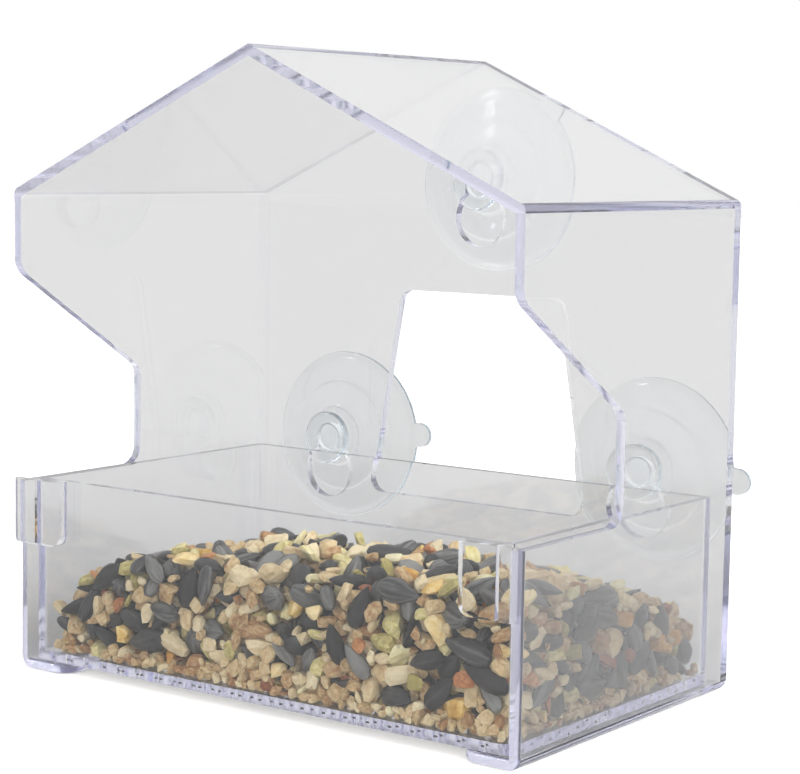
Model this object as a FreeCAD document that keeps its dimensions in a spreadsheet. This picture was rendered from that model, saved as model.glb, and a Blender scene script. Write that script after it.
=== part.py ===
# Clear window bird feeder: a house-shaped shell, a slide-in seed tray and three suction cups.
# Millimetres. +X is the feeder's right seen from the front, +Y points at the window glass, +Z is up.
# The origin is on the standing plane, at the middle of the back wall's bottom edge.
import FreeCAD, Part
import Sketcher
import math
import os

SIZES = {
    # Shell
    "width": 158.0,             # over the side walls
    "depth": 100.8,             # front plane to the outer face of the back wall
    "eave_height": 126.5,
    "roof_rise": 36.1,          # eave to ridge
    "wall": 2.5,                # side and back walls
    "roof": 2.6,
    "eave_round": 2.0,
    "back_round": 1.0,          # all round the back wall's outline
    # Rails that carry the tray
    "rail_thickness": 2.8,
    "rail_reach": 17.0,         # from the wall's outer face inwards
    "rail_round": 3.4,          # outer lower corner
    "rail_tip_round": 1.2,
    "rail_corner": 6.0,         # front inner corner, seen from above
    # Front cut-back of the side walls
    "cheek_height": 50.4,
    "cheek_setback": 1.8,       # cheek front behind the eave's front
    "eave_drop": 20.6,          # eave to the start of the slanted edge
    "side_gap": 27.0,           # cheek top to the end of the slanted edge
    "cutback": 45.1,            # depth of the cut-back from the front plane
    "cutback_round": 5.0,
    "slant_round": 6.0,         # where the front edge turns into the slanted edge
    # Opening in the back wall
    "window_bottom": 40.8,
    "window_web": 13.0,         # between the opening and the top keyhole
    "window_side_web": 15.0,    # between the opening's lower corner and a side keyhole's axis
    "window_taper": 10.0,       # how much further in the upper corner is
    "window_round": 4.0,
    # Places of the suction cups and their keyholes
    "side_cup_inset": 28.0,     # from the shell's side to the cup's axis
    "side_cup_height": 55.0,
    "top_cup_drop": 33.0,       # from the ridge
    "keyhole_drop": 9.7,        # from the seat to the entry hole
    "entry_clearance": 0.3,     # round the head
    "neck_clearance": 0.35,     # round the neck
    # Suction cup
    "head_diameter": 15.0,
    "head_thickness": 2.6,
    "head_chamfer": 0.8,
    "neck_diameter": 7.4,
    "grip_clearance": 0.3,      # on each side of the back wall
    "boss_diameter": 17.0,
    "dome_diameter": 32.0,
    "dome_height": 2.4,         # from the boss face to the dome's edge
    "lip_diameter": 48.6,
    "lip_thickness": 1.2,
    "lip_width": 3.2,           # flat ring that meets the glass
    "stand_off": 7.5,           # back wall to glass
    "web_thickness": 2.6,       # at the middle of the cup
    "tab_length": 5.0,          # past the lip
    "tab_width": 6.4,
    "tab_root": 3.0,            # length of the tab inside the lip
    "tab_round": 2.8,
    "tab_turn_left": 4.0,       # degrees above the horizontal
    "tab_turn_right": -3.0,
    "tab_turn_top": 48.0,
    # Tray
    "tray_side_clearance": 1.5,
    "tray_floor_clearance": 0.2,
    "tray_setback": 1.2,        # tray front behind the cheek fronts
    "head_room": 0.6,           # between the cup heads and the tray's rear wall
    "tray_wall": 2.3,
    "tray_floor": 2.2,
    "rim_lift": 0.8,            # rim above the cheeks
    "tray_round": 2.5,          # upright outer corners
    "hollow_round": 1.2,        # upright inner corners
    "ear_width": 16.0,          # from the shell's side inwards
    "ear_height": 17.0,
    "ear_clearance": 0.3,       # between an ear and the cheek front
    "ear_round": 3.0,           # inner lower corner
    "ear_corner": 1.2,          # outer lower corner
    "drain_diameter": 1.8,
    "drain_pitch": 6.6,
    "drain_margin": 4.5,        # from the wall to the outer holes
    "drain_rows": 3,
    # Seed heap: places of its sections from the left wall, and of their corners from the front wall
    "seed_gap": 0.4,            # between the heap and the tray
    "heap_flank_place": 14.5,
    "heap_shoulder_place": 30.5,
    "heap_middle_place": 67.5,
    "heap_crest_place": 112.5,
    "heap_ridge_place": 34.7,
    "heap_slope_place": 54.7,
    # Heights of the heap's corners above the tray's floor, section by section
    "heap_left_front": 12.8,
    "heap_left_ridge": 8.8,
    "heap_left_slope": 5.8,
    "heap_left_rear": 2.5,
    "heap_flank_front": 25.3,
    "heap_flank_ridge": 19.3,
    "heap_flank_slope": 12.8,
    "heap_flank_rear": 4.0,
    "heap_shoulder_front": 27.9,
    "heap_shoulder_ridge": 28.5,
    "heap_shoulder_slope": 21.0,
    "heap_shoulder_rear": 7.4,
    "heap_middle_front": 29.3,
    "heap_middle_ridge": 34.3,
    "heap_middle_slope": 27.0,
    "heap_middle_rear": 11.5,
    "heap_crest_front": 31.8,
    "heap_crest_ridge": 35.8,
    "heap_crest_slope": 28.8,
    "heap_crest_rear": 13.5,
    "heap_right_front": 33.8,
    "heap_right_ridge": 32.3,
    "heap_right_slope": 26.3,
    "heap_right_rear": 14.0,
}

# Derived places, as expressions over the sheet
HALF = "(Sizes.width / 2)"
INNER_HALF = f"({HALF} - Sizes.wall)"
RIDGE = "(Sizes.eave_height + Sizes.roof_rise)"
PITCH = f"(Sizes.roof_rise / {HALF})"
ROOF_DROP = f"(Sizes.roof * sqrt(1 + {PITCH} * {PITCH}))"
INNER_EAVE = f"(Sizes.eave_height + {PITCH} * Sizes.wall - {ROOF_DROP})"
INNER_RIDGE = f"({RIDGE} - {ROOF_DROP})"
RAIL_TIP = f"({HALF} - Sizes.rail_reach)"
ROOM_DEPTH = "(Sizes.depth - Sizes.wall)"
SLANT_TOP = "(Sizes.eave_height - Sizes.eave_drop)"
SLANT_BOTTOM = "(Sizes.cheek_height + Sizes.side_gap)"
BODY_SHIFT = "(Sizes.wall / 2 - Sizes.depth)"

SIDE_CUP = f"({HALF} - Sizes.side_cup_inset)"
TOP_CUP_HEIGHT = f"({RIDGE} - Sizes.top_cup_drop)"
ENTRY_DIAMETER = "(Sizes.head_diameter + 2 * Sizes.entry_clearance)"
SLOT_WIDTH = "(Sizes.neck_diameter + 2 * Sizes.neck_clearance)"
WINDOW_LOW = f"({SIDE_CUP} - Sizes.window_side_web)"
WINDOW_HIGH = f"({WINDOW_LOW} - Sizes.window_taper)"
WINDOW_TOP = f"({TOP_CUP_HEIGHT} - Sizes.keyhole_drop - {ENTRY_DIAMETER} / 2 - Sizes.window_web)"
CUPS = {
    "left": (f"(-{SIDE_CUP})", "Sizes.side_cup_height"),
    "right": (SIDE_CUP, "Sizes.side_cup_height"),
    "top": ("0", TOP_CUP_HEIGHT),
}

TRAY_HALF = f"({INNER_HALF} - Sizes.tray_side_clearance)"
TRAY_FRONT = "(Sizes.cheek_setback + Sizes.tray_setback)"
HEAD_REACH = "(Sizes.grip_clearance + Sizes.head_thickness)"
TRAY_REAR = f"({ROOM_DEPTH} - {HEAD_REACH} - Sizes.head_room)"
TRAY_BOTTOM = "(Sizes.rail_thickness + Sizes.tray_floor_clearance)"
FLOOR_TOP = f"({TRAY_BOTTOM} + Sizes.tray_floor)"
RIM = "(Sizes.cheek_height + Sizes.rim_lift)"
HOLLOW_HALF = f"({TRAY_HALF} - Sizes.tray_wall)"
HOLLOW_FRONT = f"({TRAY_FRONT} + Sizes.tray_wall)"
HOLLOW_REAR = f"({TRAY_REAR} - Sizes.tray_wall)"
EAR_TIP = f"({HALF} - Sizes.ear_width)"
EAR_LOW = f"({RIM} - Sizes.ear_height)"
EAR_THICKNESS = "(Sizes.cheek_setback - Sizes.ear_clearance)"

MARGIN = "1"                    # overshoot of a cut past the material

doc = FreeCAD.newDocument("window_bird_feeder")
sheet = doc.addObject("Spreadsheet::Sheet", "Sizes")
for row, (alias, size) in enumerate(SIZES.items(), 1):
    sheet.set(f"A{row}", alias)
    sheet.set(f"B{row}", str(size))
    sheet.setAlias(f"B{row}", alias)
doc.recompute()


def value(expression):
    """Number that an expression over the sheet gives."""
    return float(sheet.evalExpression(expression))


def new_body(label, x="0", y=BODY_SHIFT, z="0", turn=0.0):
    """Body placed by three expressions and turned about its own Y axis, in degrees."""
    body = doc.addObject("PartDesign::Body", label)
    body.Label = label
    body.Placement.Rotation = FreeCAD.Rotation(FreeCAD.Vector(0, 1, 0), turn)
    for axis, expression in zip("xyz", (x, y, z)):
        body.setExpression(f"Placement.Base.{axis}", expression)
    return body


def origin_feature(body, role):
    """Plane or axis of the body's own origin."""
    return next(feature for feature in body.Origin.OriginFeatures if feature.Role == role)


def new_sketch(body, name, role, offset=None):
    """Sketch on one of the body's origin planes, moved along its normal by an expression."""
    sketch = body.newObject("Sketcher::SketchObject", name)
    sketch.AttachmentSupport = (origin_feature(body, role), "")
    sketch.MapMode = "FlatFace"
    if offset:
        sketch.setExpression("AttachmentOffset.Base.z", offset)
    return sketch


def bind_point(sketch, geometry, point, x, y):
    """Hold a point of the sketch at two expressions."""
    for kind, expression in (("DistanceX", x), ("DistanceY", y)):
        constraint = Sketcher.Constraint(kind, -1, 1, geometry, point, value(expression))
        index = sketch.addConstraint(constraint)
        sketch.setExpression(f"Constraints[{index}]", expression)


def add_outline(sketch, corners):
    """Closed outline of straight lines through corners given as pairs of expressions."""
    first = sketch.GeometryCount
    points = [FreeCAD.Vector(value(x), value(y), 0) for x, y in corners]
    count = len(points)
    for i in range(count):
        sketch.addGeometry(Part.LineSegment(points[i], points[(i + 1) % count]))
    for i in range(count):
        following = first + (i + 1) % count
        sketch.addConstraint(Sketcher.Constraint("Coincident", first + i, 2, following, 1))
        bind_point(sketch, first + i, 1, *corners[i])


def add_circle(sketch, x, y, diameter):
    """Circle with its centre and diameter given as expressions."""
    centre = FreeCAD.Vector(value(x), value(y), 0)
    circle = Part.Circle(centre, FreeCAD.Vector(0, 0, 1), value(diameter) / 2)
    geometry = sketch.addGeometry(circle)
    bind_point(sketch, geometry, 3, x, y)
    index = sketch.addConstraint(Sketcher.Constraint("Diameter", geometry, value(diameter)))
    sketch.setExpression(f"Constraints[{index}]", diameter)


def mirrored(corners):
    """Outline mirrored to the other side of the middle plane."""
    return [(f"(-{x})", y) for x, y in corners]


def rectangle(left, right, low, high):
    """Corners of a rectangle."""
    return [(left, low), (right, low), (right, high), (left, high)]


def finish_feature(body, feature):
    """Make a feature the body's tip and compute it."""
    body.Tip = feature
    doc.recompute()
    return feature


def pad(body, sketch, name, length, backwards=False, symmetric=False):
    """Add material along the sketch's normal, or against it."""
    feature = body.newObject("PartDesign::Pad", name)
    feature.Profile = sketch
    feature.setExpression("Length", length)
    feature.Reversed = backwards
    feature.SideType = "Symmetric" if symmetric else "One side"
    return finish_feature(body, feature)


def pocket(body, sketch, name, length, symmetric=False):
    """Cut material against the sketch's normal, and make sure that the cut met it."""
    before = body.Shape.Volume
    feature = body.newObject("PartDesign::Pocket", name)
    feature.Profile = sketch
    feature.setExpression("Length", length)
    feature.SideType = "Symmetric" if symmetric else "One side"
    finish_feature(body, feature)
    if not feature.Shape.Volume < before:
        raise RuntimeError(f"{name} cuts nothing")
    return feature


def edges_along(body, axis, places):
    """Names of the body's straight edges along an axis at places on its other two axes.

    A place is a pair of numbers in X, Y, Z order.
    """
    others = [i for i in range(3) if i != axis]
    names = []
    for number, edge in enumerate(body.Tip.Shape.Edges, 1):
        start = edge.Vertexes[0].Point
        end = edge.Vertexes[-1].Point
        straight = isinstance(edge.Curve, Part.Line)
        along = all(abs(start[i] - end[i]) < 1e-6 for i in others)
        if not (straight and along):
            continue
        if any(math.dist((start[others[0]], start[others[1]]), place) < 1e-4 for place in places):
            names.append(f"Edge{number}")
    return names


def round_edges(body, name, axis, places, radius):
    """Round the edges along an axis at places given as pairs of expressions."""
    numbers = [(value(a), value(b)) for a, b in places]
    edges = edges_along(body, axis, numbers)
    if not edges:
        raise RuntimeError(f"{name} finds no edge")
    base = body.Tip
    feature = body.newObject("PartDesign::Fillet", name)
    feature.Base = (base, edges)
    feature.setExpression("Radius", radius)
    return finish_feature(body, feature)


def both_sides(x, *others):
    """Places at plus and minus an expression."""
    return [(f"({sign}{x})", other) for other in others for sign in ("", "-")]


def make_shell():
    """House-shaped shell: back wall, roof, side walls with a cut-back front, cheeks and rails."""
    body = new_body("shell")

    sketch = new_sketch(body, "house_outline", "XZ_Plane")
    add_outline(sketch, [(f"(-{HALF})", "0"), (HALF, "0"), (HALF, "Sizes.eave_height"),
                         ("0", RIDGE), (f"(-{HALF})", "Sizes.eave_height")])
    pad(body, sketch, "house", "Sizes.depth", backwards=True)

    sketch = new_sketch(body, "room_outline", "XZ_Plane")
    right_side = [(RAIL_TIP, f"(-{MARGIN})"), (RAIL_TIP, "Sizes.rail_thickness"),
                  (INNER_HALF, "Sizes.rail_thickness"), (INNER_HALF, INNER_EAVE)]
    add_outline(sketch, right_side + [("0", INNER_RIDGE)] + mirrored(right_side)[::-1])
    pocket(body, sketch, "room", ROOM_DEPTH)

    sketch = new_sketch(body, "cut_back_outline", "YZ_Plane")
    ahead = f"(-{MARGIN})"
    add_outline(sketch, [(ahead, SLANT_TOP), ("0", SLANT_TOP), ("Sizes.cutback", SLANT_BOTTOM),
                         ("Sizes.cutback", "Sizes.cheek_height"),
                         ("Sizes.cheek_setback", "Sizes.cheek_height"),
                         ("Sizes.cheek_setback", f"(-{MARGIN})"), (ahead, f"(-{MARGIN})")])
    pocket(body, sketch, "cut_back", f"(Sizes.width + 2 * {MARGIN})", symmetric=True)

    through = f"(Sizes.depth + {MARGIN})"
    sketch = new_sketch(body, "window_outline", "XZ_Plane")
    add_outline(sketch, [(f"(-{WINDOW_LOW})", "Sizes.window_bottom"),
                         (WINDOW_LOW, "Sizes.window_bottom"),
                         (WINDOW_HIGH, WINDOW_TOP), (f"(-{WINDOW_HIGH})", WINDOW_TOP)])
    pocket(body, sketch, "window", through)

    entries = new_sketch(body, "entry_circles", "XZ_Plane")
    slots = new_sketch(body, "slot_rectangles", "XZ_Plane")
    seats = new_sketch(body, "seat_circles", "XZ_Plane")
    for x, z in CUPS.values():
        entry = f"({z} - Sizes.keyhole_drop)"
        add_circle(entries, x, entry, ENTRY_DIAMETER)
        add_outline(slots, rectangle(f"({x} - {SLOT_WIDTH} / 2)", f"({x} + {SLOT_WIDTH} / 2)", entry, z))
        add_circle(seats, x, z, SLOT_WIDTH)
    pocket(body, entries, "keyhole_entries", through)
    pocket(body, slots, "keyhole_slots", through)
    pocket(body, seats, "keyhole_seats", through)

    along_x, along_y, along_z = range(3)
    inner_corners = [("Sizes.cutback", SLANT_BOTTOM), ("Sizes.cutback", "Sizes.cheek_height")]
    round_edges(body, "cut_back_rounds", along_x, inner_corners, "Sizes.cutback_round")
    round_edges(body, "slant_rounds", along_x, [("0", SLANT_TOP)], "Sizes.slant_round")
    window_corners = both_sides(WINDOW_LOW, "Sizes.window_bottom") + both_sides(WINDOW_HIGH, WINDOW_TOP)
    round_edges(body, "window_rounds", along_y, window_corners, "Sizes.window_round")
    round_edges(body, "rail_rounds", along_y, both_sides(HALF, "0"), "Sizes.rail_round")
    front_corners = both_sides(RAIL_TIP, "Sizes.cheek_setback")
    round_edges(body, "rail_corner_rounds", along_z, front_corners, "Sizes.rail_corner")
    tips = both_sides(RAIL_TIP, "0", "Sizes.rail_thickness")
    round_edges(body, "rail_tip_rounds", along_y, tips, "Sizes.rail_tip_round")
    round_edges(body, "eave_rounds", along_y, both_sides(HALF, "Sizes.eave_height"), "Sizes.eave_round")
    round_edges(body, "back_rounds", along_z, both_sides(HALF, "Sizes.depth"), "Sizes.back_round")
    return body


def make_tray():
    """Open-topped tray with a drained floor and a stop ear at each upper front corner."""
    body = new_body("tray")

    sketch = new_sketch(body, "tray_outline", "XY_Plane", TRAY_BOTTOM)
    add_outline(sketch, rectangle(f"(-{TRAY_HALF})", TRAY_HALF, TRAY_FRONT, TRAY_REAR))
    pad(body, sketch, "block", f"({RIM} - {TRAY_BOTTOM})")

    sketch = new_sketch(body, "hollow_outline", "XY_Plane", RIM)
    add_outline(sketch, rectangle(f"(-{HOLLOW_HALF})", HOLLOW_HALF, HOLLOW_FRONT, HOLLOW_REAR))
    pocket(body, sketch, "hollow", f"({RIM} - {FLOOR_TOP})")

    along_y, along_z = 1, 2
    corners = both_sides(TRAY_HALF, TRAY_FRONT, TRAY_REAR)
    round_edges(body, "corner_rounds", along_z, corners, "Sizes.tray_round")
    corners = both_sides(HOLLOW_HALF, HOLLOW_FRONT, HOLLOW_REAR)
    round_edges(body, "hollow_rounds", along_z, corners, "Sizes.hollow_round")

    root = rectangle(EAR_TIP, f"({TRAY_HALF} - Sizes.tray_round)", EAR_LOW, RIM)
    ear = rectangle(EAR_TIP, HALF, EAR_LOW, RIM)
    for name, outline, length in (("ear_roots", root, TRAY_FRONT), ("ears", ear, EAR_THICKNESS)):
        sketch = new_sketch(body, f"{name}_outline", "XZ_Plane")
        add_outline(sketch, outline)
        add_outline(sketch, mirrored(outline))
        pad(body, sketch, name, length, backwards=True)
    round_edges(body, "ear_tip_rounds", along_y, both_sides(EAR_TIP, EAR_LOW), "Sizes.ear_round")
    round_edges(body, "ear_side_rounds", along_y, both_sides(HALF, EAR_LOW), "Sizes.ear_corner")

    columns = int((2 * value(HOLLOW_HALF) - 2 * value("Sizes.drain_margin")) / value("Sizes.drain_pitch")) + 1
    row_length = f"({columns - 1} * Sizes.drain_pitch)"
    column_length = f"({HOLLOW_REAR} - {HOLLOW_FRONT} - 2 * Sizes.drain_margin)"
    sketch = new_sketch(body, "drain_circle", "XY_Plane", FLOOR_TOP)
    add_circle(sketch, f"(-{row_length} / 2)", f"({HOLLOW_FRONT} + Sizes.drain_margin)", "Sizes.drain_diameter")
    hole = pocket(body, sketch, "drain_hole", "Sizes.tray_floor")
    holes = body.newObject("PartDesign::LinearPattern", "drain_holes")
    holes.Originals = [hole]
    holes.Direction = (origin_feature(body, "X_Axis"), [""])
    holes.setExpression("Length", row_length)
    holes.Occurrences = columns
    holes.Direction2 = (origin_feature(body, "Y_Axis"), [""])
    holes.setExpression("Length2", column_length)
    holes.setExpression("Occurrences2", "Sizes.drain_rows")
    finish_feature(body, holes)
    return body


def make_seed_fill():
    """Heap of loose seed: a ridge that rises to the right and falls to the rear wall and the left end."""
    body = new_body("seed_fill")
    half = f"({HOLLOW_HALF} - Sizes.seed_gap)"
    front = f"({HOLLOW_FRONT} + Sizes.seed_gap)"
    rear = f"({HOLLOW_REAR} - Sizes.seed_gap)"
    bottom = f"({FLOOR_TOP} + Sizes.seed_gap)"
    places = {"left": f"(-{half})", "right": half}
    for name in ("flank", "shoulder", "middle", "crest"):
        places[name] = f"(Sizes.heap_{name}_place - {HOLLOW_HALF})"

    sections = []
    for name in ("left", "flank", "shoulder", "middle", "crest", "right"):
        sketch = new_sketch(body, f"heap_{name}_section", "YZ_Plane", places[name])
        heights = {row: f"({FLOOR_TOP} + Sizes.heap_{name}_{row})" for row in ("front", "ridge", "slope", "rear")}
        add_outline(sketch, [(front, bottom), (rear, bottom), (rear, heights["rear"]),
                             (f"({HOLLOW_FRONT} + Sizes.heap_slope_place)", heights["slope"]),
                             (f"({HOLLOW_FRONT} + Sizes.heap_ridge_place)", heights["ridge"]),
                             (front, heights["front"])])
        sections.append(sketch)
    heap = body.newObject("PartDesign::AdditiveLoft", "heap")
    heap.Profile = sections[0]
    heap.Sections = sections[1:]
    heap.Ruled = True
    finish_feature(body, heap)
    return body


def make_suction_cup(side):
    """Suction cup turned about its neck, with a pull tab on its lip; y = 0 is mid-wall."""
    x, z = CUPS[side]
    body = new_body(f"suction_cup_{side}", x, "0", z, turn=-value(f"Sizes.tab_turn_{side}"))
    grip = "(Sizes.wall / 2 + Sizes.grip_clearance)"
    glass = "(Sizes.wall / 2 + Sizes.stand_off)"
    head_face = f"(-{grip} - Sizes.head_thickness)"
    head = "(Sizes.head_diameter / 2)"
    lip = "(Sizes.lip_diameter / 2)"
    dome = f"({grip} + Sizes.dome_height)"
    lip_edge = f"({glass} - Sizes.lip_thickness)"

    sketch = new_sketch(body, "cup_section", "XY_Plane")
    add_outline(sketch, [("0", head_face), (f"({head} - Sizes.head_chamfer)", head_face),
                         (head, f"({head_face} + Sizes.head_chamfer)"), (head, f"(-{grip})"),
                         ("(Sizes.neck_diameter / 2)", f"(-{grip})"), ("(Sizes.neck_diameter / 2)", grip),
                         ("(Sizes.boss_diameter / 2)", grip), ("(Sizes.dome_diameter / 2)", dome),
                         (lip, lip_edge), (lip, glass), (f"({lip} - Sizes.lip_width)", glass),
                         ("(Sizes.boss_diameter / 2)", f"({dome} + Sizes.web_thickness / 2)"),
                         ("0", f"({grip} + Sizes.web_thickness)")])
    turned = body.newObject("PartDesign::Revolution", "cup")
    turned.Profile = sketch
    turned.ReferenceAxis = (sketch, ["V_Axis"])
    finish_feature(body, turned)

    sketch = new_sketch(body, "tab_outline", "XZ_Plane", f"(-{glass})")
    tip = f"({lip} + Sizes.tab_length)"
    add_outline(sketch, rectangle(f"({lip} - Sizes.tab_root)", tip,
                                  "(-Sizes.tab_width / 2)", "(Sizes.tab_width / 2)"))
    pad(body, sketch, "tab", "Sizes.lip_thickness")
    along_y = 1
    corners = [(tip, "(-Sizes.tab_width / 2)"), (tip, "(Sizes.tab_width / 2)")]
    round_edges(body, "tab_rounds", along_y, corners, "Sizes.tab_round")
    return body


parts = [make_shell(), make_tray(), make_seed_fill()]
parts += [make_suction_cup(side) for side in CUPS]

doc.recompute()
for item in doc.Objects:
    if "Invalid" in item.State or "Error" in item.State:
        raise RuntimeError(f"{item.Label} is {item.State}")
for part in parts:
    if part.Shape.isNull() or not part.Shape.isValid() or len(part.Shape.Solids) != 1:
        raise RuntimeError(f"{part.Label} is not one valid solid")

os.makedirs("parts", exist_ok=True)
for part in parts:
    part.Shape.exportStep(f"parts/{part.Label}.step")
    print(part.Label, part.Shape.BoundBox, round(part.Shape.Volume))
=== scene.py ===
"""Looks of a clear window bird feeder: shell and tray, soft suction cups and loose seed.

The scene is in metres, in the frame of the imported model: +X to the feeder's right seen from
the front, +Y towards the window glass, +Z up from the standing plane. Sizes in the classes
are millimetres unless a comment says metres, and become metres where a mesh is made.
"""

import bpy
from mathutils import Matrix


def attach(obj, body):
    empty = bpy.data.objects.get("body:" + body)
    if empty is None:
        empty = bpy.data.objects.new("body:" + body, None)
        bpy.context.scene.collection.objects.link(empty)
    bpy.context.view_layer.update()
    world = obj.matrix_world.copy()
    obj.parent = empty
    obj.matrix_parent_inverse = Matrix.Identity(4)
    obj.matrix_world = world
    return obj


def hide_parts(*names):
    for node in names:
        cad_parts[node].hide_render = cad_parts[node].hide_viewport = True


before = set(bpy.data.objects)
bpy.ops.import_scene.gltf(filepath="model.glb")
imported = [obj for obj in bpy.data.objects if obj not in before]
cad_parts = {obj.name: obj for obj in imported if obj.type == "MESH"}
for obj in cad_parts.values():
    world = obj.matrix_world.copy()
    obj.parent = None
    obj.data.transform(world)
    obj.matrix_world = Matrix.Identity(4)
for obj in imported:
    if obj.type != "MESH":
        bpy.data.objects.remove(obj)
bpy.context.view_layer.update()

import logging
import math
from dataclasses import dataclass
from enum import Enum
from typing import Any

import bpy
import numpy as np
from mathutils import Matrix, Vector
from numpy.typing import NDArray

Array = NDArray[np.float64]
Indices = NDArray[np.int64]
Triple = tuple[float, float, float]
MM = 0.001
PLANT_IOR = 1.45        # dry husk and kernel
SEED_RINGS = 6          # rings of points between a seed's two ends
SEED_COLUMNS = 8        # points in each ring
TIP_POWER = 0.85        # how a teardrop narrows towards its tip
FULL_GIRTH = 1.047      # largest value of a teardrop's girth before it is scaled
STREAK = 0.25           # pattern's pace along a teardrop, slow, so that patches become streaks
CHIP_CUTS = 7           # random cuts that shape a chip
CUT_REACH = (0.6, 1.0)  # how far from the middle they pass, as shares of half its size
EDGE_POWER = 12         # power mean that rounds a chip's edges, sharper when higher
PATTERN_SHIFT = 50.0    # largest shift that gives each seed its own part of the pattern
SIDE_SPREAD = 0.8       # how far a seed's sides differ, as a share of how far seeds differ
WHOLE_LIMITS = (0.6, 1.4)       # smallest and largest seed of a sort, as a share
SIDE_LIMITS = (0.65, 1.35)      # shortest and longest side, as a share
log = logging.getLogger("window_bird_feeder")


def linear(code: str) -> tuple[float, float, float, float]:
    """Turn an sRGB hex colour into linear light.

    Args:
        code: colour as "#rrggbb".

    Returns:
        Red, green, blue and alpha.
    """
    srgb = np.array([int(code[i:i + 2], 16) for i in (1, 3, 5)]) / 255.0
    rgb = np.where(srgb <= 0.04045, srgb / 12.92, ((srgb + 0.055) / 1.055) ** 2.4)
    return (*rgb.tolist(), 1.0)


def add_node(tree: bpy.types.NodeTree, kind: str, settings: dict[str, Any] | None = None,
             inputs: dict[str | int, Any] | None = None) -> bpy.types.Node:
    """Add a shader node with its settings, socket values and links.

    Args:
        tree: node tree that gets the node.
        kind: node type without its "ShaderNode" prefix.
        settings: the node's own properties by name.
        inputs: by socket name or number, a value or the output socket to link from.

    Returns:
        The new node.
    """
    node = tree.nodes.new(f"ShaderNode{kind}")
    for name, value in (settings or {}).items():
        setattr(node, name, value)
    for name, value in (inputs or {}).items():
        if isinstance(value, bpy.types.NodeSocket):
            tree.links.new(value, node.inputs[name])
        else:
            node.inputs[name].default_value = value
    return node


def new_tree(block: bpy.types.Material | bpy.types.World) -> bpy.types.NodeTree:
    """Switch a material or world to nodes and empty its tree.

    Args:
        block: the material or world.

    Returns:
        Its node tree.
    """
    block.use_nodes = True
    block.node_tree.nodes.clear()
    return block.node_tree


def ring_faces(rings: int, columns: int) -> tuple[Indices, Indices]:
    """Faces of a closed surface: a pole, rings of points in order, and a second pole.

    The faces look outwards when each ring runs anticlockwise as seen from beyond the
    first pole.

    Args:
        rings: number of rings between the poles.
        columns: points in each ring.

    Returns:
        Triangles at the poles, and the quads between the rings.
    """
    here = np.arange(columns)
    after = (here + 1) % columns
    last = 1 + (rings - 1) * columns
    first_pole = np.zeros(columns, int)
    last_pole = np.full(columns, last + columns)
    caps = np.concatenate([np.stack([first_pole, 1 + here, 1 + after], 1),
                           np.stack([last_pole, last + after, last + here], 1)])
    row = 1 + columns * np.arange(rings - 1)[:, None]
    quads = np.stack([row + here, row + columns + here, row + columns + after, row + after], -1)
    return caps, quads.reshape(-1, 4)


def new_piece(name: str, points: Array, faces: list[Indices], material: bpy.types.Material,
              body: str, smooth: bool = True) -> bpy.types.Object:
    """Make a mesh piece that rides on a body.

    Args:
        name: name of the piece.
        points: its points, one row each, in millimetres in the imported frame.
        faces: arrays of faces, each array with one number of corners per face.
        material: its finish.
        body: the body it moves with.
        smooth: whether its faces are shaded as one smooth skin.

    Returns:
        The piece.
    """
    mesh = bpy.data.meshes.new(name)
    corners = np.concatenate([part.ravel() for part in faces])
    sizes = np.concatenate([np.full(len(part), part.shape[1]) for part in faces])
    mesh.vertices.add(len(points))
    mesh.vertices.foreach_set("co", (points * MM).astype(np.float32).ravel())
    mesh.loops.add(len(corners))
    mesh.loops.foreach_set("vertex_index", corners.astype(np.int32))
    mesh.polygons.add(len(sizes))
    mesh.polygons.foreach_set("loop_start", (np.cumsum(sizes) - sizes).astype(np.int32))
    mesh.polygons.foreach_set("use_smooth", np.full(len(sizes), smooth))
    mesh.update(calc_edges=True)
    mesh.validate()
    mesh.materials.append(material)
    piece = bpy.data.objects.new(name, mesh)
    bpy.context.scene.collection.objects.link(piece)
    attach(piece, body)
    log.info("%s: %d faces on %s", name, len(mesh.polygons), body)
    return piece


@dataclass(frozen=True)
class ClearMoulding:
    """Finish of a clear moulded plastic.

    Injection-moulded from a polished tool: it is seen through, mirrors the room a little,
    and its cut edges show a lavender or sea-green tint, because light runs a long way in
    the plate before it leaves there. Slow waves from the flow of the melt bend what is
    behind it a little.
    """

    name: str
    ior: float
    roughness: float            # of the clearest patches
    haze: float                 # what the cloudier patches add
    passes: str                 # colour of what one face lets through
    tint: str                   # colour that is left after a long way inside
    density: float              # how strongly it takes the other colours, per metre
    wave: float                 # length of the flow waves, mm
    swell: float                # depth of the flow waves, mm
    clear_level: float = 0.35   # height of the waves below which a patch is clearest
    cloudy_level: float = 0.65  # and above which it is cloudiest

    def material(self) -> bpy.types.Material:
        """Make the material: a shader clouded and waved by one noise, and a tinting inside.

        Returns:
            The new material.
        """
        material = bpy.data.materials.new(self.name)
        tree = new_tree(material)
        place = add_node(tree, "TexCoord").outputs["Object"]
        flow = add_node(tree, "TexNoise", inputs={
            "Vector": place, "Scale": 1.0 / (self.wave * MM), "Detail": 2.0}).outputs["Fac"]
        cloud = add_node(tree, "MapRange", inputs={
            "Value": flow, "From Min": self.clear_level, "From Max": self.cloudy_level,
            "To Min": self.roughness, "To Max": self.roughness + self.haze})
        waves = add_node(tree, "Bump", inputs={"Height": flow, "Distance": self.swell * MM})
        shader = add_node(tree, "BsdfPrincipled", inputs={
            "Base Color": linear(self.passes), "IOR": self.ior, "Transmission Weight": 1.0,
            "Roughness": cloud.outputs["Result"], "Normal": waves.outputs["Normal"]})
        depth = add_node(tree, "VolumeAbsorption", inputs={
            "Color": linear(self.tint), "Density": self.density})
        add_node(tree, "OutputMaterial", inputs={
            "Surface": shader.outputs[0], "Volume": depth.outputs[0]})
        return material


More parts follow.
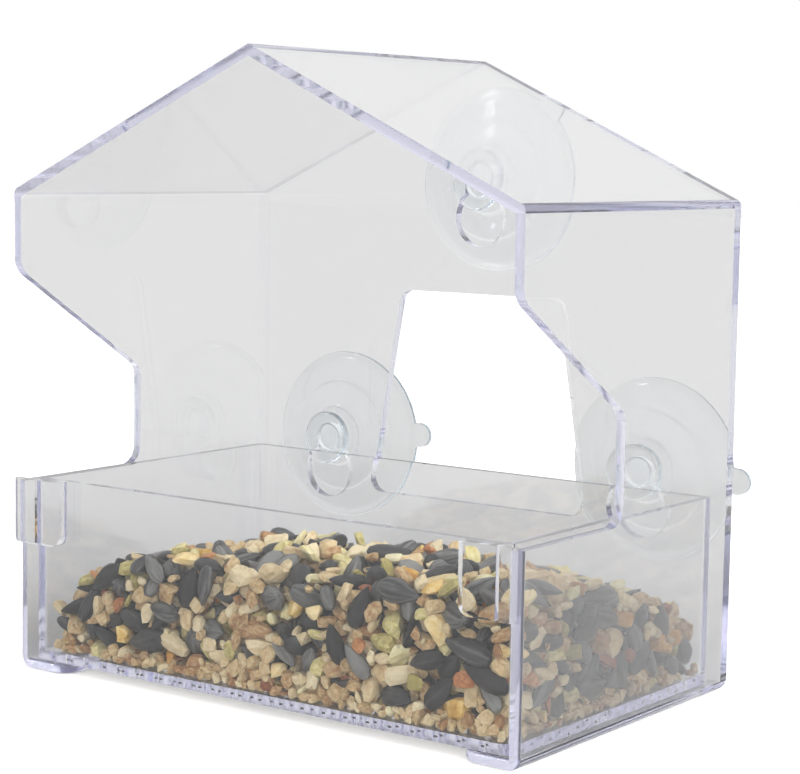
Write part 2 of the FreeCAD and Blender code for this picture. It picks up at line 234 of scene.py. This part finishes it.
@dataclass(frozen=True)
class SeedFinish:
    """Finish of one sort of dry seed.

    Dry plant matter: matt to satin, mottled or streaked from its growth, and no two seeds
    of quite the same tone. The pattern follows the seed's own "grain" attribute, in half
    sizes of the seed, and its "tone" attribute shifts the whole seed lighter or darker.
    """

    name: str
    dark: str
    middle: str
    light: str
    roughness: float
    half: float                 # about half a seed's width, mm
    patch: float                # width of a patch or streak, mm
    relief: float               # depth of the surface's wrinkles, mm
    mottle: float = 0.45        # how far the pattern shifts the tone
    satin: float = 0.12         # how far the pattern shifts the roughness, either way
    stops: Triple = (0.15, 0.5, 0.9)    # tones of the dark, middle and light colours

    def material(self) -> bpy.types.Material:
        """Make the material: three colours over the seed's tone plus a noise of patches.

        Returns:
            The new material.
        """
        material = bpy.data.materials.new(self.name)
        tree = new_tree(material)
        grain = add_node(tree, "Attribute", {"attribute_name": "grain"}).outputs["Vector"]
        tone = add_node(tree, "Attribute", {"attribute_name": "tone"}).outputs["Fac"]
        patches = add_node(tree, "TexNoise", inputs={
            "Vector": grain, "Scale": self.half / self.patch, "Detail": 3.0,
            "Roughness": 0.6}).outputs["Fac"]
        spread = add_node(tree, "MapRange", inputs={
            "Value": patches, "From Min": 0.3, "From Max": 0.7}).outputs["Result"]
        shade = add_node(tree, "Math", {"operation": "MULTIPLY_ADD"},
                         {0: spread, 1: self.mottle, 2: tone}).outputs[0]
        ramp = add_node(tree, "ValToRGB", inputs={"Fac": shade})
        ends = ramp.color_ramp.elements
        ends[0].position, ends[0].color = self.stops[0], linear(self.dark)
        ends[1].position, ends[1].color = self.stops[2], linear(self.light)
        ends.new(self.stops[1]).color = linear(self.middle)
        gloss = add_node(tree, "MapRange", inputs={
            "Value": patches, "To Min": self.roughness + self.satin,
            "To Max": self.roughness - self.satin})
        wrinkles = add_node(tree, "Bump", inputs={
            "Height": patches, "Distance": self.relief * MM})
        shader = add_node(tree, "BsdfPrincipled", inputs={
            "Base Color": ramp.outputs["Color"], "Roughness": gloss.outputs["Result"],
            "IOR": PLANT_IOR, "Normal": wrinkles.outputs["Normal"]})
        add_node(tree, "OutputMaterial", inputs={"Surface": shader.outputs[0]})
        return material


# Clear polystyrene: thin plates almost vanish, long ways through it turn lavender.
POLYSTYRENE = ClearMoulding("clear_polystyrene", ior=1.58, roughness=0.02, haze=0.02,
                            passes="#fdfdfd", tint="#2a3cf6", density=1.7, wave=24.0, swell=0.008)
# Soft vinyl: clear but faintly milky, with a sea-green cast in its thick head.
SOFT_VINYL = ClearMoulding("soft_clear_vinyl", ior=1.5, roughness=0.06, haze=0.06,
                           passes="#fafbfb", tint="#5fb6d6", density=10.0, wave=9.0, swell=0.03)
# Sunflower hull: nearly black, satin, with fine grey streaks along its length.
HULL = SeedFinish("sunflower_hull", "#202021", "#3a3a3b", "#82827f",
                  roughness=0.5, half=2.6, patch=1.0, relief=0.12)
# Chopped nut kernel: cream where it is broken, red-brown where it is rubbed.
KERNEL = SeedFinish("chopped_nut", "#a6794c", "#d1b788", "#e9dab4",
                    roughness=0.6, half=1.8, patch=1.0, relief=0.3)
# Nut skin: thin, papery and red-brown.
SKIN = SeedFinish("nut_skin", "#85472a", "#b06a3c", "#d79a62",
                  roughness=0.5, half=2.2, patch=1.0, relief=0.15)
# Cracked maize: waxy yellow with a paler heart.
MAIZE = SeedFinish("cracked_maize", "#c98f3a", "#e6bf68", "#f6e2ae",
                   roughness=0.45, half=2.1, patch=1.5, relief=0.15)
# Hulled grain: pale, a little green.
GRAIN = SeedFinish("hulled_grain", "#a89a55", "#d8cb8c", "#f0e8c0",
                   roughness=0.6, half=1.92, patch=1.2, relief=0.12)


class Moulding(Enum):
    """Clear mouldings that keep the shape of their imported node."""

    SHELL = "shell"
    TRAY = "tray"

    def dress(self, material: bpy.types.Material) -> None:
        """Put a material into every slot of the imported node.

        Args:
            material: finish of the moulding.
        """
        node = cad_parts[self.value]
        if not node.material_slots:
            node.data.materials.append(material)
        for place in node.material_slots:
            place.material = material
        log.info("%s: dressed in %s", self.value, material.name)


class CupSide(Enum):
    """The three suction cups of the back wall."""

    LEFT = "left"
    RIGHT = "right"
    TOP = "top"


@dataclass
class SuctionCup:
    """Soft suction cup: button head, neck through the keyhole, cup and lip with a pull tab."""

    side: CupSide
    x: float                    # axis of the neck
    z: float
    tab_turn: float             # degrees above +X
    lip_radius: float = 24.3
    tab_length: float = 5.0
    tab_width: float = 7.0
    tab_sector: float = 9.0     # degrees to each side of the tab that hold its columns
    tab_columns: int = 24
    columns: int = 80           # in the rest of the turn
    corner_cut: float = 0.25    # share of a run that each cut takes off at a corner
    cut_rounds: int = 2

    def section(self) -> Array:
        """Half section of the cup as rows of radius, y and share of the tab.

        Straight runs between moulded corners, whose corners are cut at a quarter of each
        run twice over, which leaves smooth rounds.

        Returns:
            Rows from the middle of the head round the lip to the middle of the hollow.
        """
        lip = self.lip_radius
        head = [(0.0, -4.15), (4.4, -4.15), (6.8, -4.1), (7.5, -3.5), (7.5, -2.1), (7.0, -1.55),
                (5.0, -1.55)]
        neck = [(3.7, -1.45), (3.7, -0.7), (3.7, 0.7), (3.7, 1.45), (5.0, 1.55)]
        dome = [(7.6, 1.55), (8.4, 1.75), (8.6, 2.6), (9.3, 2.9), (14.9, 3.75), (15.7, 3.95),
                (16.0, 4.75), (16.7, 5.05), (22.2, 6.9), (23.2, 7.4)]
        rim = [(lip - 0.45, 7.55), (lip, 7.75), (lip, 8.55), (lip - 0.2, 8.75)]
        hollow = [(23.0, 8.75), (21.6, 8.75), (20.4, 8.45), (14.5, 6.95), (9.5, 5.5), (7.0, 5.0),
                  (3.5, 4.25), (0.0, 4.15)]
        outside = head + neck + dome
        tab_share = np.repeat([0.0, 1.0, 0.0], [len(outside), len(rim), len(hollow)])
        line = np.column_stack([outside + rim + hollow, tab_share])
        cut, rest = self.corner_cut, 1 - self.corner_cut
        for _ in range(self.cut_rounds):
            near = rest * line[:-1] + cut * line[1:]
            far = cut * line[:-1] + rest * line[1:]
            line = np.vstack([line[:1], np.stack([near, far], 1).reshape(-1, 3), line[-1:]])
        return line

    def tab_reach(self, angle: Array) -> Array:
        """How far the tab stands past the lip in each direction.

        A half oval over the tab's width: the root of one minus the squared share of the
        half width, times the length.

        Args:
            angle: directions from the tab's axis, in radians.

        Returns:
            Length past the lip, zero away from the tab.
        """
        share = self.lip_radius * angle / (self.tab_width / 2)
        return self.tab_length * np.sqrt(np.maximum(1 - share ** 2, 0.0))

    def build(self, material: bpy.types.Material) -> None:
        """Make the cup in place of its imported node.

        A section carried round the neck's axis; the lip's rows reach out to the tab.

        Args:
            material: finish of the cup.
        """
        line = self.section()
        inner = line[1:-1]
        edge = math.radians(self.tab_sector)
        angle = np.concatenate([
            np.linspace(-edge, edge, self.tab_columns, endpoint=False),
            np.linspace(edge, 2 * math.pi - edge, self.columns, endpoint=False)])
        radius = inner[:, :1] + inner[:, 2:] * self.tab_reach(angle)
        turned = angle + math.radians(self.tab_turn)
        rings = np.stack([self.x + radius * np.cos(turned),
                          np.broadcast_to(inner[:, 1:2], radius.shape),
                          self.z + radius * np.sin(turned)], -1)
        poles = np.array([[self.x, line[0, 1], self.z], [self.x, line[-1, 1], self.z]])
        points = np.vstack([poles[:1], rings.reshape(-1, 3), poles[1:]])
        body = f"suction_cup_{self.side.value}"
        piece = new_piece(f"moulded_cup_{self.side.value}", points,
                          list(ring_faces(*radius.shape)), material, body)
        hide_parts(body)


class SeedForm(Enum):
    """How a seed's shape is worked out."""

    TEARDROP = "teardrop"
    CHIP = "chip"


@dataclass(frozen=True)
class SeedSort:
    """One sort of seed in the mix."""

    name: str
    form: SeedForm
    count: int
    size: Triple        # length, width and thickness, mm
    spread: float       # how far single seeds differ, as a share
    finish: SeedFinish

    def sizes(self, rng: np.random.Generator) -> Array:
        """Length, width and thickness of each seed, varied as a whole and by side.

        Args:
            rng: source of the differences.

        Returns:
            One row per seed.
        """
        whole = rng.normal(1.0, self.spread, (self.count, 1)).clip(*WHOLE_LIMITS)
        by_side = rng.normal(1.0, SIDE_SPREAD * self.spread, (self.count, 3)).clip(*SIDE_LIMITS)
        return np.array(self.size) * whole * by_side

    def shapes(self, sizes: Array, rng: np.random.Generator) -> tuple[Array, Array]:
        """Points of every seed of this sort about its own middle.

        A teardrop's girth is the square root of the way from its blunt end times the way
        from its tip to the power 0.85, over an oval. A chip is a sphere's directions times
        the soft distance to a box's six faces and seven random cuts, a power mean that
        rounds the edges between them.

        Args:
            sizes: length, width and thickness of each seed.
            rng: source of the random cuts.

        Returns:
            Points, seed by point by axis, and the pattern coordinates in the same order.
        """
        down = math.pi * np.arange(1, SEED_RINGS + 1)[:, None] / (SEED_RINGS + 1)
        turn = 2 * math.pi * np.arange(SEED_COLUMNS) / SEED_COLUMNS
        along = np.broadcast_to(-np.cos(down), (SEED_RINGS, SEED_COLUMNS))
        unit = np.stack([along, np.sin(down) * np.sin(turn), np.sin(down) * np.cos(turn)], -1)
        unit = np.vstack([[-1.0, 0.0, 0.0], unit.reshape(-1, 3), [1.0, 0.0, 0.0]])
        shift = rng.uniform(-PATTERN_SHIFT, PATTERN_SHIFT, (len(sizes), 1, 3))
        if self.form is SeedForm.TEARDROP:
            x = unit[:, 0]
            girth = (1 - x) ** TIP_POWER * np.sqrt(1 + x) / FULL_GIRTH
            oval = unit[:, 1:] / np.maximum(np.hypot(unit[:, 1], unit[:, 2]), 1e-9)[:, None]
            form = np.column_stack([x, oval * girth[:, None]])[None]
            pattern = np.column_stack([STREAK * x, oval])[None] + shift
        else:
            cuts = rng.normal(size=(len(sizes), CHIP_CUTS, 3))
            reach = rng.uniform(*CUT_REACH, (len(sizes), CHIP_CUTS, 1))
            cuts /= np.linalg.norm(cuts, axis=2, keepdims=True) * reach
            box = np.vstack([np.eye(3), -np.eye(3)])
            planes = np.concatenate([np.broadcast_to(box, (len(sizes), 6, 3)), cuts], 1)
            facing = np.maximum(np.einsum("vi,sci->svc", unit, planes), 0.0)
            form = unit / (facing ** EDGE_POWER).sum(2, keepdims=True) ** (1 / EDGE_POWER)
            pattern = form + shift
        return form * sizes[:, None] / 2, pattern


@dataclass
class SeedMix:
    """Loose seed in the tray: settled by pushing overlapping seeds apart inside the heap."""

    sorts: tuple[SeedSort, ...]
    half_width: float = 72.55       # room inside the tray
    front: float = -94.1
    rear: float = -7.2
    floor: float = 5.3
    ceiling: float = 60.0           # no seed reaches above this
    crown: float = 42.0             # highest point of the heap
    margin: float = 2.0             # how far from the walls and floor seeds start
    skin: float = 1.5               # and how far under the heap's surface
    tries: int = 8                  # random places for each seed that is needed
    lift: float = 0.78              # power that lifts the long seeds in the heap
    crumb: float = 30.0             # largest box volume of a crumb, cubic mm
    right_foot: float = 0.05        # share of the crumbs that start at the right wall's foot
    front_foot: float = 0.14        # the same plus those at the front wall's foot
    foot: tuple[float, float] = (1.0, 4.0)      # how far from wall and floor those start
    lean: float = 0.55              # how steeply seeds lie at the start, less when smaller
    steps: int = 160
    search_steps: int = 5           # steps from one search for neighbours to the next
    slack: float = 0.6              # what the search adds to each radius
    sinking: float = 0.7            # share of the steps in which the seeds sink
    sink: float = 0.03              # how far they sink in a step
    give: float = 0.32              # share of an overlap that each of two balls gives way
    arm_share: float = 0.29         # outer balls of a long seed from its middle, of its length
    slim_share: float = 0.41        # radius of its balls, of its width
    wall_share: float = 0.9         # part of a ball's radius kept clear of the walls
    roof_share: float = 0.7         # and kept under the heap's surface
    tilt: float = 0.22              # how far a seed's flat side leans off the nearest face
    tone: float = 0.31              # middle tone of the seeds
    tone_spread: float = 0.23
    tone_limits: tuple[float, float] = (-0.1, 0.8)
    seed: int = 11

    def top(self, x: Array, y: Array) -> Array:
        """Height of the heap, straight between the heights of a coarse net.

        Args:
            x: places across the tray.
            y: places along its depth.

        Returns:
            Heights of the heap's surface.
        """
        across = [-72.5, -66.0, -58.0, -45.0, -20.0, 10.0, 40.0, 60.0, 72.5]
        deep = np.array([-94.2, -79.5, -59.5, -39.5, -19.5, -7.1])
        net = [[19.0, 23.5, 31.5, 34.0, 35.0, 36.0, 38.0, 40.0, 40.0],
               [18.0, 22.0, 30.0, 35.0, 38.0, 39.5, 41.0, 41.5, 41.0],
               [15.0, 18.5, 25.5, 34.0, 39.5, 41.5, 42.0, 41.0, 38.5],
               [12.0, 14.0, 19.0, 26.5, 32.0, 34.5, 35.0, 34.5, 32.5],
               [9.5, 10.5, 13.0, 18.0, 22.5, 25.0, 26.0, 26.0, 25.0],
               [8.5, 9.0, 10.0, 13.0, 16.5, 18.5, 19.5, 20.0, 20.0]]
        rows = np.stack([np.interp(x, across, heights) for heights in net])
        last = 4.999    # just short of the last row, so that one row follows
        place = np.clip(np.interp(y, deep, np.arange(6.0)), 0.0, last)
        low = place.astype(int)
        share = place - low
        pick = np.arange(len(rows[0]))
        return rows[low, pick] * (1 - share) + rows[low + 1, pick] * share

    def scatter(self, sizes: Array, long: int, rng: np.random.Generator) -> Array:
        """Random places in the heap: long seeds rather high, some crumbs at two walls' feet.

        A long seed's share of the heap's height is raised to a power below one, which
        lifts it.

        Args:
            sizes: length, width and thickness of each seed, the long seeds first.
            long: number of long seeds.
            rng: source of the places.

        Returns:
            One row per seed.
        """
        count = len(sizes)
        low = [self.margin - self.half_width, self.front + self.margin, self.floor + self.margin]
        high = [self.half_width - self.margin, self.rear - self.margin, self.crown]
        tries = rng.uniform(low, high, (self.tries * count, 3))
        inside = tries[:, 2] < self.top(tries[:, 0], tries[:, 1]) - self.skin
        places = tries[inside][:count]
        depth = self.top(places[:long, 0], places[:long, 1]) - self.skin - self.floor
        share = (places[:long, 2] - self.floor) / depth
        places[:long, 2] = self.floor + depth * share ** self.lift
        fate = np.where(sizes.prod(1) < self.crumb, rng.uniform(0.0, 1.0, count), 1.0)
        near, height = rng.uniform(*self.foot, (2, count))
        right = fate < self.right_foot
        front = (fate > self.right_foot) & (fate < self.front_foot)
        places[:, 0] = np.where(right, self.half_width - near, places[:, 0])
        places[:, 1] = np.where(front, self.front + near, places[:, 1])
        places[:, 2] = np.where(fate < self.front_foot, self.floor + height, places[:, 2])
        return places

    def settle(self, sizes: Array, long: int, rng: np.random.Generator) -> tuple[Array, Array]:
        """Settle the seeds: balls that push each other apart and stay inside the heap.

        A long seed is three balls held at fixed distances in a row, any other seed is one
        ball. In each step every overlapping pair moves apart by a share of its overlap,
        all balls sink a little, the rows are straightened and the walls push back.

        Args:
            sizes: length, width and thickness of each seed, the long seeds first.
            long: number of long seeds.
            rng: source of the starting places.

        Returns:
            Middle of each seed, and the direction of its length.
        """
        middle = self.scatter(sizes, long, rng)
        length = rng.normal(size=(len(sizes), 3)) * [1.0, 1.0, self.lean]
        length /= np.linalg.norm(length, axis=1, keepdims=True)
        arm = self.arm_share * sizes[:long, :1]
        reach = arm * length[:long]
        balls = np.vstack([middle[:long] - reach, middle[:long], middle[:long] + reach,
                           middle[long:]])
        slim = self.slim_share * sizes[:long, 1]
        radius = np.concatenate([slim, slim, slim, 0.5 * np.cbrt(sizes[long:].prod(1))])
        owner = np.concatenate([np.tile(np.arange(long), 3), np.arange(long, len(sizes))])
        back, mid, tip = (np.arange(long) + k * long for k in range(3))
        wall = self.wall_share * radius
        for step in range(self.steps):
            if step % self.search_steps == 0:
                first, second = self.neighbours(balls, radius, owner)
            gap = balls[second] - balls[first]
            apart = np.maximum(np.linalg.norm(gap, axis=1), 1e-6)
            push = np.maximum(radius[first] + radius[second] - apart, 0.0)
            move = gap * (self.give * push / apart)[:, None]
            np.add.at(balls, second, move)
            np.add.at(balls, first, -move)
            balls[:, 2] -= self.sink if step < self.sinking * self.steps else 0.0
            for one, other, share in ((back, mid, 1.0), (mid, tip, 1.0), (back, tip, 2.0)):
                rod = balls[other] - balls[one]
                now = np.maximum(np.linalg.norm(rod, axis=1, keepdims=True), 1e-6)
                fix = rod * (0.5 * (now - share * arm) / now)
                balls[one] += fix
                balls[other] -= fix
            balls[:, 0] = np.clip(balls[:, 0], wall - self.half_width, self.half_width - wall)
            balls[:, 1] = np.clip(balls[:, 1], self.front + wall, self.rear - wall)
            surface = self.top(balls[:, 0], balls[:, 1]) - self.roof_share * radius
            roof = np.maximum(surface, self.floor + wall)
            balls[:, 2] = np.clip(balls[:, 2], self.floor + wall, roof)
        log.info("seed mix: %d touching pairs, mean overlap %.2f mm",
                 np.count_nonzero(push), push[push > 0].mean())
        lay = balls[tip] - balls[back]
        length[:long] = lay / np.linalg.norm(lay, axis=1, keepdims=True)
        return np.vstack([balls[mid], balls[3 * long:]]), length

    def neighbours(self, balls: Array, radius: Array, owner: Indices) -> tuple[Indices, Indices]:
        """Pairs of balls of different seeds that are near enough to meet soon.

        Args:
            balls: places of the balls.
            radius: their radii.
            owner: the seed that each ball belongs to.

        Returns:
            First and second ball of each pair.
        """
        place = balls.astype(np.float32)
        reach = radius.astype(np.float32) + np.float32(self.slack)
        square = (place ** 2).sum(1)
        apart = square[:, None] + square - 2 * place @ place.T
        near = (apart < (reach[:, None] + reach) ** 2) & (owner[:, None] < owner)
        return np.nonzero(near)

    def lie(self, middle: Array, length: Array, rng: np.random.Generator) -> Array:
        """Turn each seed so that its flat side faces the nearest wall, floor or surface.

        Args:
            middle: middle of each seed.
            length: direction of its length.
            rng: source of small tilts.

        Returns:
            For each seed a matrix whose columns are its length, width and thickness.
        """
        x, y, z = middle.T
        gaps = np.stack([self.half_width + x, self.half_width - x, y - self.front, self.rear - y,
                         z - self.floor, self.top(x, y) - z])
        sides = np.repeat(np.eye(3), 2, axis=0)
        flat = sides[np.argmin(gaps, 0)] + rng.normal(0.0, self.tilt, middle.shape)
        flat -= (flat * length).sum(1, keepdims=True) * length
        flat /= np.linalg.norm(flat, axis=1, keepdims=True)
        return np.stack([length, np.cross(flat, length), flat], -1)

    def build(self) -> None:
        """Make one piece for each sort of seed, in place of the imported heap."""
        rng = np.random.default_rng(self.seed)
        sizes = np.concatenate([sort.sizes(rng) for sort in self.sorts])
        long = sum(sort.count for sort in self.sorts if sort.form is SeedForm.TEARDROP)
        middle, length = self.settle(sizes, long, rng)
        turns = self.lie(middle, length, rng)
        low = np.array([-self.half_width, self.front, self.floor])
        high = np.array([self.half_width, self.rear, self.ceiling])
        done = 0
        for sort in self.sorts:
            mine = slice(done, done + sort.count)
            done += sort.count
            form, pattern = sort.shapes(sizes[mine], rng)
            points = np.einsum("sij,svj->svi", turns[mine], form) + middle[mine, None]
            inwards = np.maximum(low - points.min(1), 0.0)[:, None]
            points += inwards - np.maximum(points.max(1) - high, 0.0)[:, None]
            start = np.arange(sort.count)[:, None, None] * points.shape[1]
            faces = [(start + part).reshape(-1, part.shape[1])
                     for part in ring_faces(SEED_RINGS, SEED_COLUMNS)]
            piece = new_piece(sort.name, points.reshape(-1, 3), faces, sort.finish.material(),
                              "tray", sort.form is SeedForm.TEARDROP)
            tone = rng.normal(self.tone, self.tone_spread, sort.count).clip(*self.tone_limits)
            tone = np.repeat(tone, points.shape[1]).astype(np.float32)
            attributes = piece.data.attributes
            attributes.new("tone", "FLOAT", "POINT").data.foreach_set("value", tone)
            attributes.new("grain", "FLOAT_VECTOR", "POINT").data.foreach_set(
                "vector", pattern.astype(np.float32).ravel())
            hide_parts("seed_fill")


@dataclass(frozen=True)
class Studio:
    """White photo table with soft light all round, and the camera."""

    light: float = 0.66             # brightness of the surround, as light on the object
    shade: float = 0.8              # share of it that is lost towards straight up
    key: float = 2.2                # what it gains towards the key side
    key_side: Triple = (0.35, -0.93, 0.08)
    fill: float = 4.2               # what it gains towards the fill side
    fill_side: Triple = (0.99, 0.0, 0.05)
    horizon: float = 0.78           # brightness of the surround in and through plastic, level
    overhead: float = 0.38          # what it gains there towards straight up
    table_half: float = 4.0         # metres
    table_level: float = -0.0002    # metres, just under the standing plane
    table_white: str = "#fbfbfb"
    table_left: str = "#d1d1d1"     # the table in and through plastic, on the left, without painted light
    table_lit_right: str = "#e1e1e1"    # and on the right, lighter: painted light, as if a lamp lit the table from the right
    table_light_fade: tuple[float, float] = (0.06, 0.24)  # x where the one turns into the other, metres: where the painted light fades in
    table_glow: float = 0.4         # what keeps the open table white
    aim: Triple = (0.0, -0.05, 0.07)    # what the lamps face, metres
    azimuth: float = 36.274         # degrees, from straight in front towards the feeder's right
    elevation: float = 6.168        # degrees
    roll: float = 0.883             # degrees
    place: Triple = (334.79, -493.05, 137.32)   # of the camera
    sensor: float = 36.0            # width
    lens: float = 97.22             # focal length

    def clear_rays(self, tree: bpy.types.NodeTree) -> bpy.types.NodeSocket:
        """Mask of the rays that show the surround in or through clear plastic.

        Args:
            tree: node tree that gets the nodes.

        Returns:
            Socket that is one for glossy and transmission rays that have met no matt surface.
        """
        path = add_node(tree, "LightPath").outputs
        either = add_node(tree, "Math", {"operation": "MAXIMUM"},
                          {0: path["Is Glossy Ray"], 1: path["Is Transmission Ray"]}).outputs[0]
        first = add_node(tree, "Math", {"operation": "LESS_THAN"},
                         {0: path["Diffuse Depth"], 1: 0.5}).outputs[0]
        return add_node(tree, "Math", {"operation": "MULTIPLY"}, {0: either, 1: first}).outputs[0]

    def surround(self) -> None:
        """White surround that lights the object softly, most from the front and right.

        As light on the object it fades towards straight up, and gains by the square of the
        cosine towards two sides. In and through plastic it grows from the horizon up, and
        the camera sees it plain white.
        """
        world = bpy.data.worlds.new("white_surround")
        tree = new_tree(world)
        aim = add_node(tree, "TexCoord").outputs["Generated"]
        height = add_node(tree, "SeparateXYZ", inputs={0: aim}).outputs["Z"]
        up = add_node(tree, "Math", {"operation": "MAXIMUM"}, {0: height, 1: 0.0}).outputs[0]
        level = add_node(tree, "Math", {"operation": "MULTIPLY_ADD"},
                         {0: up, 1: self.overhead, 2: self.horizon}).outputs[0]
        lit = add_node(tree, "Math", {"operation": "MULTIPLY_ADD"},
                       {0: up, 1: -self.light * self.shade, 2: self.light}).outputs[0]
        for gain, side in ((self.key, self.key_side), (self.fill, self.fill_side)):
            towards = add_node(tree, "VectorMath", {"operation": "DOT_PRODUCT"},
                               {0: aim, 1: side}).outputs["Value"]
            facing = add_node(tree, "Math", {"operation": "MAXIMUM"},
                              {0: towards, 1: 0.0}).outputs[0]
            soft = add_node(tree, "Math", {"operation": "POWER"}, {0: facing, 1: 2.0}).outputs[0]
            lit = add_node(tree, "Math", {"operation": "MULTIPLY_ADD"},
                           {0: soft, 1: gain, 2: lit}).outputs[0]
        shown = add_node(tree, "Mix", {"data_type": "FLOAT"},
                         {0: self.clear_rays(tree), 2: lit, 3: level}).outputs[0]
        camera = add_node(tree, "LightPath").outputs["Is Camera Ray"]
        strength = add_node(tree, "Mix", {"data_type": "FLOAT"},
                            {0: camera, 2: shown, 3: 1.0}).outputs[0]
        glow = add_node(tree, "Background",
                        inputs={"Color": linear("#ffffff"), "Strength": strength})
        add_node(tree, "OutputWorld", inputs={"Surface": glow.outputs[0]})
        bpy.context.scene.world = world

    def table(self) -> None:
        """Matt white table top that keeps the object's shadow.

        In and through plastic it shows a grey that lightens from left to right: painted light, as
        if a lamp lit the table from the right.
        """
        reach, level = self.table_half, self.table_level
        mesh = bpy.data.meshes.new("table_top")
        mesh.from_pydata([(-reach, -reach, level), (reach, -reach, level),
                          (reach, reach, level), (-reach, reach, level)], [], [(0, 1, 2, 3)])
        material = bpy.data.materials.new("matt_white_paper")
        tree = new_tree(material)
        place = add_node(tree, "TexCoord").outputs["Object"]
        across = add_node(tree, "SeparateXYZ", inputs={0: place}).outputs["X"]
        # painted light: in and through plastic the table's grey lightens towards the right, as if
        # lit from there
        right = add_node(tree, "MapRange", inputs={
            "Value": across, "From Min": self.table_light_fade[0],
            "From Max": self.table_light_fade[1]}).outputs["Result"]
        shown = add_node(tree, "Mix", {"data_type": "RGBA"}, {
            0: right, 6: linear(self.table_left), 7: linear(self.table_lit_right)}).outputs[2]
        colour = add_node(tree, "Mix", {"data_type": "RGBA"}, {
            0: self.clear_rays(tree), 6: linear(self.table_white), 7: shown}).outputs[2]
        camera = add_node(tree, "LightPath").outputs["Is Camera Ray"]
        glow = add_node(tree, "Math", {"operation": "MULTIPLY"},
                        {0: camera, 1: self.table_glow}).outputs[0]
        shader = add_node(tree, "BsdfPrincipled", inputs={
            "Base Color": colour, "Roughness": 0.9, "Specular IOR Level": 0.0,
            "Emission Color": linear("#ffffff"), "Emission Strength": glow})
        add_node(tree, "OutputMaterial", inputs={"Surface": shader.outputs[0]})
        mesh.materials.append(material)
        table = bpy.data.objects.new("table_top", mesh)
        bpy.context.scene.collection.objects.link(table)

    def lamp(self, name: str, place: Triple, size: float, power: float) -> None:
        """Square lamp that faces the middle of the feeder and gives glints on smooth edges.

        Args:
            name: name of the lamp.
            place: its place, in metres.
            size: its side, in metres.
            power: its power, in watts.
        """
        data = bpy.data.lights.new(name, "AREA")
        data.size, data.energy = size, power
        lamp = bpy.data.objects.new(name, data)
        lamp.visible_diffuse = False
        turn = (Vector(place) - Vector(self.aim)).to_track_quat("Z", "Y")
        lamp.matrix_world = Matrix.Translation(place) @ turn.to_matrix().to_4x4()
        bpy.context.scene.collection.objects.link(lamp)

    def camera(self) -> None:
        """Camera at the viewing angle, level but for a small roll."""
        az, el, roll = np.radians([self.azimuth, self.elevation, self.roll])
        back = np.array([np.sin(az) * np.cos(el), -np.cos(az) * np.cos(el), np.sin(el)])
        level = np.array([np.cos(az), np.sin(az), 0.0])
        upright = np.cross(back, level)
        stand = np.eye(4)
        stand[:3, 0] = level * np.cos(roll) + upright * np.sin(roll)
        stand[:3, 1] = upright * np.cos(roll) - level * np.sin(roll)
        stand[:3, 2] = back
        stand[:3, 3] = np.array(self.place) * MM
        data = bpy.data.cameras.new("camera")
        data.sensor_width, data.lens = self.sensor, self.lens
        camera = bpy.data.objects.new("camera", data)
        camera.matrix_world = Matrix(stand.tolist())
        bpy.context.scene.collection.objects.link(camera)
        bpy.context.scene.camera = camera

    def build(self) -> None:
        """Set up the surround, the table, the lamps and the camera.

        Light that runs along inside a clear plate bounces dozens of times before it leaves
        at an edge, so the bounce limits are high.
        """
        scene = bpy.context.scene
        scene.view_settings.view_transform = "Standard"
        scene.cycles.max_bounces = 96
        scene.cycles.transmission_bounces = 64
        scene.cycles.glossy_bounces = 64
        self.surround()
        self.table()
        self.lamp("left_box", place=(-0.9, -0.8, 1.0), size=0.3, power=3.0)
        self.lamp("right_box", place=(0.9, -0.9, 0.9), size=0.2, power=3.0)
        self.camera()


CUPS = (SuctionCup(CupSide.LEFT, x=-51.0, z=55.0, tab_turn=4.0),
        SuctionCup(CupSide.RIGHT, x=51.0, z=55.0, tab_turn=-3.0),
        SuctionCup(CupSide.TOP, x=0.0, z=129.6, tab_turn=48.0))
# Each sort's name, form, count, size, spread and finish, the long seeds first.
SORTS = (SeedSort("sunflower_seeds", SeedForm.TEARDROP, 760, (10.8, 5.6, 3.8), 0.1, HULL),
         SeedSort("nut_pieces", SeedForm.CHIP, 1260, (5.2, 4.1, 3.1), 0.22, KERNEL),
         SeedSort("nut_crumbs", SeedForm.CHIP, 1600, (3.4, 2.8, 2.2), 0.22, KERNEL),
         SeedSort("nut_skins", SeedForm.CHIP, 160, (5.6, 4.2, 2.2), 0.2, SKIN),
         SeedSort("maize_bits", SeedForm.CHIP, 150, (5.4, 4.4, 3.3), 0.18, MAIZE),
         SeedSort("pale_grains", SeedForm.CHIP, 380, (6.4, 3.8, 2.7), 0.18, GRAIN))


def main() -> None:
    """Build the studio and dress the feeder, piece by piece."""
    logging.basicConfig(level=logging.INFO, format="%(message)s")
    Studio().build()
    clear = POLYSTYRENE.material()
    for moulding in Moulding:
        moulding.dress(clear)
    vinyl = SOFT_VINYL.material()
    for cup in CUPS:
        cup.build(vinyl)
    SeedMix(SORTS).build()


if __name__ == "__main__":
    main()
